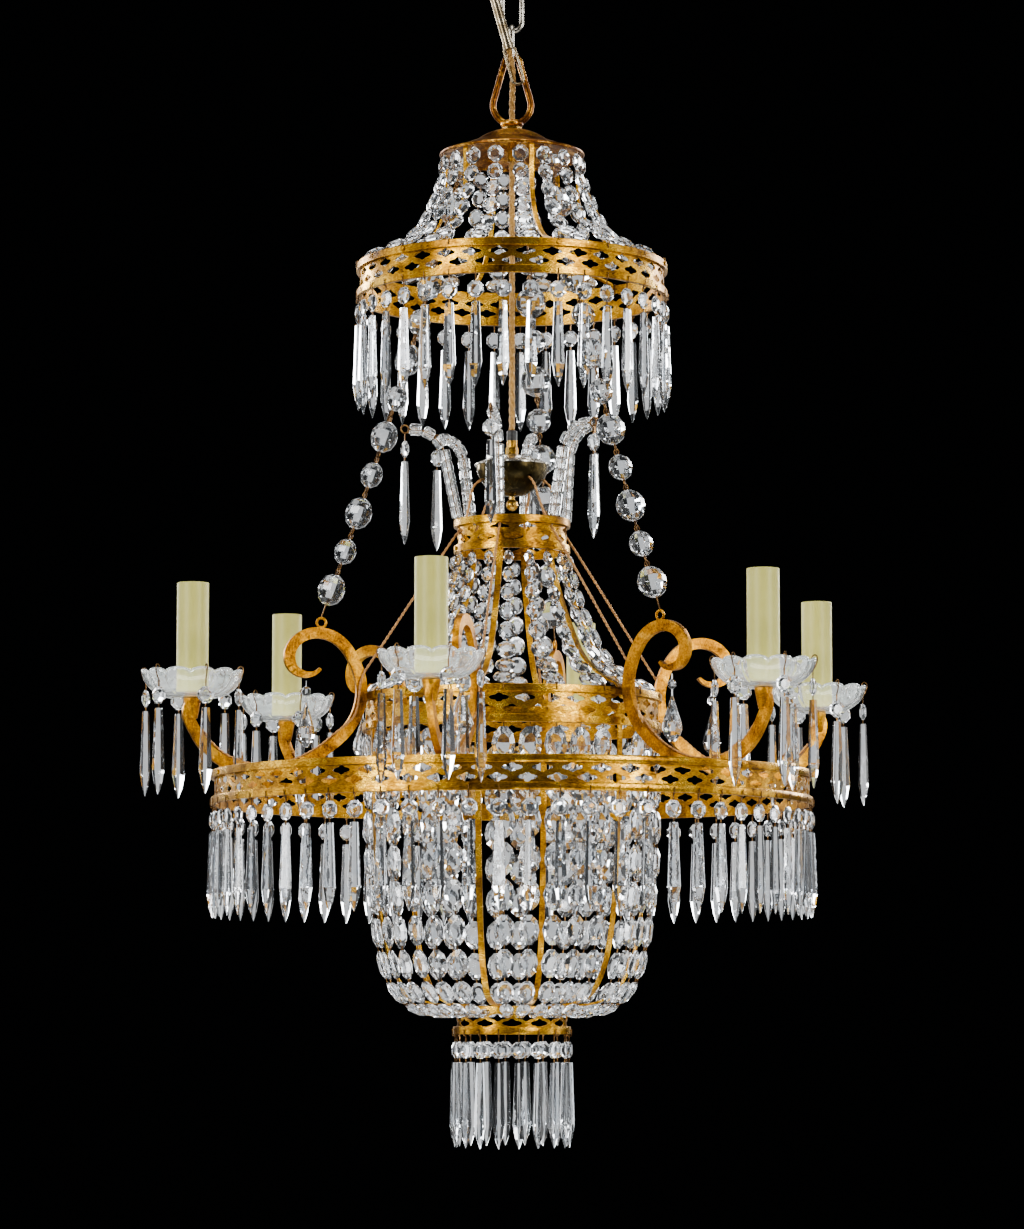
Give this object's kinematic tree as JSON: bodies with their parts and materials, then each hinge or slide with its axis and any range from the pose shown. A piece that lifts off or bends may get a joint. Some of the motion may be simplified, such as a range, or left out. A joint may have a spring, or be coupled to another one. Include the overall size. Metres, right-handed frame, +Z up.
{
  "type": "crystal chandelier",
  "caption": "Gilt chandelier with pierced rings, curved candle arms, glass drip pans, bead chains and baskets of cut crystals, hung from a link chain.",
  "frame": {"origin": "inside top of the upper link, where the ceiling hook carries the chandelier", "axes": "+Z up along the chandelier's axis, front towards -Y"},
  "size_m": [0.6288, 0.638, 1.0473],
  "materials": {
    "nickel": "polished nickel",
    "bronze": "red-brown bronze, rubbed gold at the edges",
    "brass": "satin",
    "cord": "twisted gold covered cord",
    "black_plastic": "matt",
    "gilt": "antique gold leaf",
    "crystal": "cut and polished",
    "wire": "drawn wire",
    "junction_brass": "dark olive brass",
    "steel": "zinc plated",
    "clear_glass": "moulded, clear",
    "sleeve_card": "pale waxed card with a faint weave"
  },
  "bodies": {
    "hook_link": {"upper_link": "nickel"},
    "swing_link": {"lower_link": "nickel"},
    "chandelier": {"cord_sheath": "nickel", "cord_bail": "nickel", "junction_cover": "nickel", "hanging_loop": "bronze", "canopy_dish": "bronze", "canopy_nipple": "brass", "canopy_nuts": "brass", "bowl_finial": "brass", "cord_bush": "brass", "lamp_stems": "brass", "rivets": "brass", "supply_cord": "cord", "lamp_wires": "cord", "cord_clamp": "black_plastic", "supply_connector": "black_plastic", "terminal_block": "black_plastic", "upper_hoops": "gilt", "upper_gallery": "gilt", "crown_hoops": "gilt", "crown_gallery": "gilt", "mid_hoops": "gilt", "mid_gallery": "gilt", "large_hoops": "gilt", "large_gallery": "gilt", "bottom_hoops": "gilt", "bottom_gallery": "gilt", "arms": "gilt", "upper_ribs": "gilt", "basket_ribs": "gilt", "lower_ribs": "gilt", "upper_crystals": "crystal", "basket_crystals": "crystal", "lower_crystals": "crystal", "upper_pendants": "crystal", "large_pendants": "crystal", "bottom_pendants": "crystal", "pan_pendants": "crystal", "plume_pendants": "crystal", "plume_tubes": "crystal", "chain_beads": "crystal", "crystal_wires": "wire", "plume_wires": "wire", "junction_bowl": "junction_brass", "bowl_rod": "steel", "lampholders": "steel", "drip_pans": "clear_glass"},
    "sleeve_1": {"candle_sleeve_1": "sleeve_card"},
    "sleeve_2": {"candle_sleeve_2": "sleeve_card"},
    "sleeve_3": {"candle_sleeve_3": "sleeve_card"},
    "sleeve_4": {"candle_sleeve_4": "sleeve_card"},
    "sleeve_5": {"candle_sleeve_5": "sleeve_card"},
    "sleeve_6": {"candle_sleeve_6": "sleeve_card"},
    "drop_1": {"teardrop_1": "crystal"},
    "drop_2": {"teardrop_2": "crystal"},
    "drop_3": {"teardrop_3": "crystal"},
    "drop_4": {"teardrop_4": "crystal"},
    "drop_5": {"teardrop_5": "crystal"},
    "drop_6": {"teardrop_6": "crystal"}
  },
  "joints": [
    {"name": "link_swing", "type": "hinge", "parent": "hook_link", "child": "swing_link", "pos_m": [0, 0, -0.05], "axis": [0, 1, 0], "range_deg": [-5, 5]},
    {"name": "hanger_swing", "type": "hinge", "parent": "swing_link", "child": "chandelier", "pos_m": [0, 0, -0.07695], "axis": [1, 0, 0], "range_deg": [-3, 5]},
    {"name": "sleeve_1_lift", "type": "slide", "parent": "chandelier", "child": "sleeve_1", "axis": [0, 0, 1], "range_m": [0, 0.1]},
    {"name": "sleeve_2_lift", "type": "slide", "parent": "chandelier", "child": "sleeve_2", "axis": [0, 0, 1], "range_m": [0, 0.1]},
    {"name": "sleeve_3_lift", "type": "slide", "parent": "chandelier", "child": "sleeve_3", "axis": [0, 0, 1], "range_m": [0, 0.1]},
    {"name": "sleeve_4_lift", "type": "slide", "parent": "chandelier", "child": "sleeve_4", "axis": [0, 0, 1], "range_m": [0, 0.1]},
    {"name": "sleeve_5_lift", "type": "slide", "parent": "chandelier", "child": "sleeve_5", "axis": [0, 0, 1], "range_m": [0, 0.1]},
    {"name": "sleeve_6_lift", "type": "slide", "parent": "chandelier", "child": "sleeve_6", "axis": [0, 0, 1], "range_m": [0, 0.1]},
    {"name": "drop_1_swing", "type": "hinge", "parent": "chandelier", "child": "drop_1", "pos_m": [-0.0418, -0.17821, -0.62855], "axis": [-0.2284, -0.9736, 0], "range_deg": [-25, 25]},
    {"name": "drop_2_swing", "type": "hinge", "parent": "chandelier", "child": "drop_2", "pos_m": [0.13344, -0.12531, -0.62855], "axis": [0.729, -0.6845, 0], "range_deg": [-25, 25]},
    {"name": "drop_3_swing", "type": "hinge", "parent": "chandelier", "child": "drop_3", "pos_m": [0.17524, 0.05291, -0.62855], "axis": [0.9573, 0.289, 0], "range_deg": [-25, 25]},
    {"name": "drop_4_swing", "type": "hinge", "parent": "chandelier", "child": "drop_4", "pos_m": [0.0418, 0.17821, -0.62855], "axis": [0.2284, 0.9736, 0], "range_deg": [-25, 25]},
    {"name": "drop_5_swing", "type": "hinge", "parent": "chandelier", "child": "drop_5", "pos_m": [-0.13344, 0.12531, -0.62855], "axis": [-0.729, 0.6845, 0], "range_deg": [-25, 25]},
    {"name": "drop_6_swing", "type": "hinge", "parent": "chandelier", "child": "drop_6", "pos_m": [-0.17524, -0.05291, -0.62855], "axis": [-0.9573, -0.289, 0], "range_deg": [-25, 25]}
  ]
}
